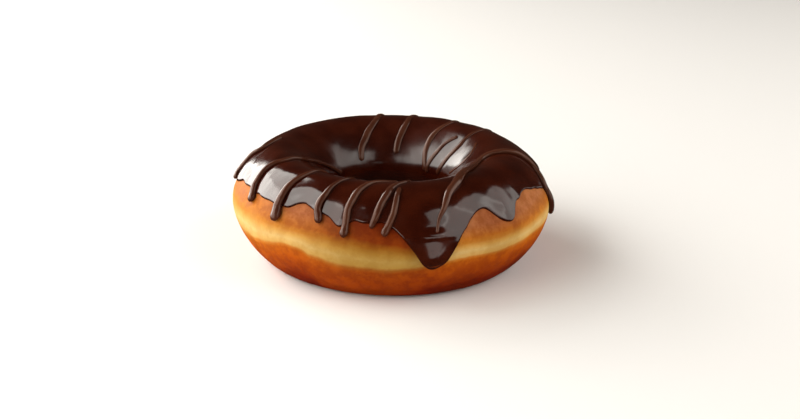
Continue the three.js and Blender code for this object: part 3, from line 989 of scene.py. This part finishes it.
# %% The strands' bends
STRANDS = (
    # flatness, then bends of azimuth, section angle and width in mm
    (0.70, ((-91, 14, 1.9), (-94, 22, 2.0), (-95, 36, 1.9), (-95, 52, 1.8), (-96, 66, 1.7),
            (-100, 76, 1.5), (-107, 84, 1.2))),
    (0.80, ((-62, 18, 2.5), (-63, 24, 2.5), (-64.5, 31, 2.2), (-66, 39, 2.0), (-67, 49, 1.8),
            (-68, 60, 1.7), (-69, 73, 1.6), (-68.5, 84, 1.5), (-70, 96, 1.5), (-77, 117, 1.4),
            (-96, 141, 1.4), (-111, 158, 1.4), (-126, 175, 1.4))),
    (0.80, ((-44, 10, 3.0), (-45, 20, 3.0), (-46, 30, 2.7), (-46, 40, 2.4), (-46, 53, 2.1),
            (-45.5, 66, 1.8), (-44.5, 77, 1.5), (-44, 88, 1.3), (-45.5, 106, 1.2),
            (-48, 122, 1.1))),
    (0.80, ((-26, 22, 2.2), (-27, 31, 2.3), (-28, 39, 2.1), (-28, 49, 2.0), (-27, 59, 1.8),
            (-26.5, 70, 1.5), (-25.5, 80, 1.2), (-24, 92, 1.0), (-23, 102, 0.9), (-22, 115, 0.8))),
    (0.80, ((-16, 8, 2.2), (-16, 15, 2.4), (-16, 26, 1.9), (-16, 35, 2.0), (-16, 45, 2.0),
            (-15, 57, 2.0), (-14, 69, 1.9), (-12, 80, 1.6), (-8.5, 92, 1.3), (-2.5, 101, 1.0),
            (4, 105, 0.8))),
    (0.75, ((-7, 23, 1.5), (-6.5, 29, 1.6), (-5.5, 37, 1.9), (-4.5, 47, 2.1), (-3, 58, 2.1),
            (-1.5, 68, 2.0), (0, 78, 1.7), (3, 89, 1.3), (7.5, 98, 1.1), (11, 110, 0.9))),
    (0.75, ((-2.5, 13, 2.0), (-2, 20, 2.1), (-1, 27, 2.0), (0, 35, 1.8), (1, 44, 1.8),
            (1.8, 56, 1.7), (2.6, 68, 1.5), (4, 80, 1.2))),
    (0.75, ((15, 15, 0.8), (16, 26, 0.9), (17, 34, 1.1), (19, 43, 1.5), (21, 54, 1.9),
            (24, 66, 2.2), (30, 79, 2.4), (38, 94, 2.4), (47, 104, 2.3), (57, 111, 2.1),
            (67, 114, 2.0), (75, 111, 1.9), (79, 102, 1.9), (81, 91, 1.9), (83, 78, 1.9),
            (84, 69, 1.9), (84, 58, 1.9), (83, 46, 1.9), (81, 35, 1.9), (79, 24, 2.0),
            (78, 14, 2.1), (77, 5, 2.3), (77, -4, 2.4), (77, -12, 2.2))),
    (0.42, ((-152, 166, 1.8), (-155, 148, 2.0), (-160, 135, 2.1), (-164, 123, 2.1),
            (-168, 112, 2.0), (-172, 98, 1.9), (-174, 84, 1.8), (-176, 66, 1.7), (-178, 48, 1.7),
            (-179, 30, 1.8), (-180, 16, 2.0), (-180, 3, 2.2), (-180, -9, 2.2))),
    (0.42, ((175.5, 158, 1.8), (174, 140, 2.0), (172, 125, 2.0), (170, 109, 1.9), (169, 95, 1.7),
            (168, 78, 1.6), (167, 58, 1.6), (166, 38, 1.7), (165, 20, 1.8))),
    (0.45, ((144, 176, 1.5), (146, 163, 1.6), (148, 150, 1.7), (148.5, 138, 1.8),
            (148, 125, 1.8), (146.5, 113, 1.6), (145, 103, 1.4), (144, 90, 1.3), (145, 72, 1.3),
            (148, 50, 1.4), (150, 30, 1.6))),
    (0.50, ((141.5, 178, 1.4), (141, 167, 1.4), (139, 157, 1.5), (136, 145, 1.5),
            (134, 133, 1.4), (131, 123, 1.4), (127.5, 115, 1.4))),
    (0.50, ((127, 176, 1.4), (124, 165, 1.5), (122, 154, 1.6), (120, 140, 1.6), (119, 127, 1.6),
            (120, 116, 1.5), (121, 103, 1.3), (122, 90, 1.1), (125, 72, 1.1), (131, 36, 1.4))),
    (0.50, ((106, 166, 1.0), (99, 154, 1.1), (96, 144, 1.2), (97, 131, 1.2), (102, 120, 1.1),
            (108, 111, 1.0))),
)
print("bends in each strand:", [len(bends) for _, bends in STRANDS])

# %% The strands themselves
LINE_STEP = 0.3 * MM
FEWEST_STEPS = 8
STEPS_PER_BEND = 60


def rounded_line(bends):
    """A smooth line through the bends, in even steps of azimuth, section angle and width."""
    knots = np.array(bends, dtype=float)
    knots = np.vstack([2 * knots[0] - knots[1], knots, 2 * knots[-1] - knots[-2]])
    share = np.linspace(0, 1, STEPS_PER_BEND, endpoint=False)[:, None]
    pieces = [
        0.5 * (2 * b + (c - a) * share + (2 * a - 5 * b + 4 * c - d) * share ** 2
               + (3 * b - a - 3 * c + d) * share ** 3)
        for a, b, c, d in zip(knots, knots[1:], knots[2:], knots[3:])
    ]
    dense = np.vstack([*pieces, knots[-2:-1]])
    points = over_dough(dense[:, 0], dense[:, 1], 0.0)
    walked = np.concatenate([[0], np.cumsum(np.linalg.norm(np.diff(points, axis=0), axis=1))])
    even = np.linspace(0, walked[-1], max(FEWEST_STEPS, round(walked[-1] / LINE_STEP)))
    return np.stack([np.interp(even, walked, column) for column in dense.T])


def strand_line(name, bends):
    """The line held a few millimetres over the dough, with its width and which way is up."""
    azimuth, angle, width = rounded_line(bends)
    points = over_dough(azimuth, angle, DROP_HEIGHT)
    up = (points - over_dough(azimuth, angle, 0.0)) / DROP_HEIGHT
    mesh = bpy.data.meshes.new(name)
    mesh.from_pydata(points.tolist(), [(i, i + 1) for i in range(len(points) - 1)], [])
    mesh.attributes.new("width", "FLOAT", "POINT").data.foreach_set("value", width * MM)
    mesh.attributes.new("up", "FLOAT_VECTOR", "POINT").data.foreach_set("vector", up.ravel())
    return mesh


strands = []
for number, (flatness, bends) in enumerate(STRANDS, start=1):
    piece = grow(f"drizzled_strand_{number:02d}", STRAND_TREE,
                 {"Glaze": glaze, "Dough": dough, "Flatness": flatness, "Seed": float(number),
                  "Material": SATIN_CHOCOLATE}, start=strand_line("bends", bends))
    strands.append(piece)
    report(piece)

# %% [markdown]
# ## A pale table and soft light
#
# Gloss is only as good as what it mirrors. Tall windows stand at the left and on round
# behind, and weaker ones stand at the right. In front and overhead the room stays dark. So
# the glaze shows bright patches at the left, grey ones at the right and deep brown between.
# A fill from the right lights the crust and is not seen in the gloss. A small card close to
# the front does the opposite: it gives the longest run its patch of light and adds nothing
# to the crust. The table is plain and pale. It throws light back onto the doughnut, but it
# is hidden from reflections, so that the lips of the glaze stay dark against it.

# %% The table
TABLE_HALF = 6.0
TABLE_COLOUR = (0.86, 0.85, 0.84)
TABLE_ROUGHNESS = 0.8
table_mesh = bpy.data.meshes.new("table")
table_mesh.from_pydata(
    [(-TABLE_HALF, -TABLE_HALF, 0), (TABLE_HALF, -TABLE_HALF, 0),
     (TABLE_HALF, TABLE_HALF, 0), (-TABLE_HALF, TABLE_HALF, 0)], [], [(0, 1, 2, 3)])
table = add_object("table", table_mesh)
table_material, _, table_surface = new_material("pale_table")
table_surface.inputs["Base Color"].default_value = (*TABLE_COLOUR, 1.0)
table_surface.inputs["Roughness"].default_value = TABLE_ROUGHNESS
table_mesh.materials.append(table_material)
table.visible_glossy = False
print("table", 2 * TABLE_HALF, "m wide")

# %% The lights
LIGHT_DISTANCE = 0.7
MIDDLE = Vector((0.0, 0.0, 0.02))
WINDOWS = (
    # name, azimuth, height angle, width and height as angles, radiance
    ("back_left_window", -129, 18, 40, 22, 8.6),
    ("back_left_upper", -131, 38, 44, 17, 4.5),
    ("back_left_lower", -134, 1, 40, 12, 4.5),
    ("left_window", -95, 26, 28, 58, 5.0),
    ("left_front_window", -66, 26, 30, 58, 3.6),
    ("left_front_low_window", -40, 22, 24, 44, 3.2),
    ("right_high_window", 40, 42, 24, 22, 1.7),
    ("right_front_window", 64, 27, 32, 50, 2.0),
    ("right_window", 99, 23, 38, 50, 1.9),
    ("right_back_window", 127, -4, 22, 11, 1.4),
)
FILL = ("right_fill", 66, 8, 60, 36, 1.5)  # lights the crust, but the gloss doesn't show it
DAYLIGHT = (1.0, 0.98, 0.92)
CARD_DISTANCE = 0.075
CARD = ("front_card", 27, 19, 52, 22, 1.75)  # so near that little but the run mirrors it


def window(settings, middle=MIDDLE, distance=LIGHT_DISTANCE):
    """A rectangular light seen from the middle over the given angles."""
    name, azimuth, height, wide, tall, radiance = settings
    turn, rise = math.radians(azimuth), math.radians(height)
    light = bpy.data.lights.new(name, "AREA")
    light.shape = "RECTANGLE"
    light.color = DAYLIGHT
    light.size = 2 * distance * math.tan(math.radians(wide / 2)) * math.cos(rise)
    light.size_y = 2 * distance * math.tan(math.radians(tall / 2))
    light.energy = radiance * math.pi * light.size * light.size_y
    lamp = add_object(name, light)
    level = math.cos(rise)
    direction = Vector((level * math.sin(turn), -level * math.cos(turn), math.sin(rise)))
    lamp.location = middle + distance * direction
    lamp.rotation_euler = (-direction).to_track_quat("-Z", "Y").to_euler()
    lamp.visible_camera = False
    print(name, "size in m:", round(light.size, 2), round(light.size_y, 2),
          "power:", round(light.energy, 1))
    return lamp


for settings in WINDOWS:
    window(settings)
fill = window(FILL)
fill.visible_glossy = False
longest_run = over_dough(BEADS[0][0], 0.0, 0.0)
card = window(CARD, Vector(longest_run), CARD_DISTANCE)
card.visible_diffuse = False

# %% The room
ROOM_COLOUR = (0.10, 0.06, 0.045)
ROOM_STRENGTH = 0.5

world = bpy.data.worlds.new("room")
world.use_nodes = True
background = world.node_tree.nodes["Background"]
background.inputs["Color"].default_value = (*ROOM_COLOUR, 1.0)
background.inputs["Strength"].default_value = ROOM_STRENGTH
bpy.context.scene.world = world
bpy.context.scene.view_settings.view_transform = "Standard"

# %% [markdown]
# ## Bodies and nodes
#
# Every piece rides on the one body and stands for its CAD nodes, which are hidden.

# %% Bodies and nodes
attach(dough, "root")
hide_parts("dough_ring")
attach(glaze, "root")
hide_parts("chocolate_glaze")
for number, piece in enumerate(strands, start=1):
    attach(piece, "root")
    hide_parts(f"drizzle_strand_{number:02d}")
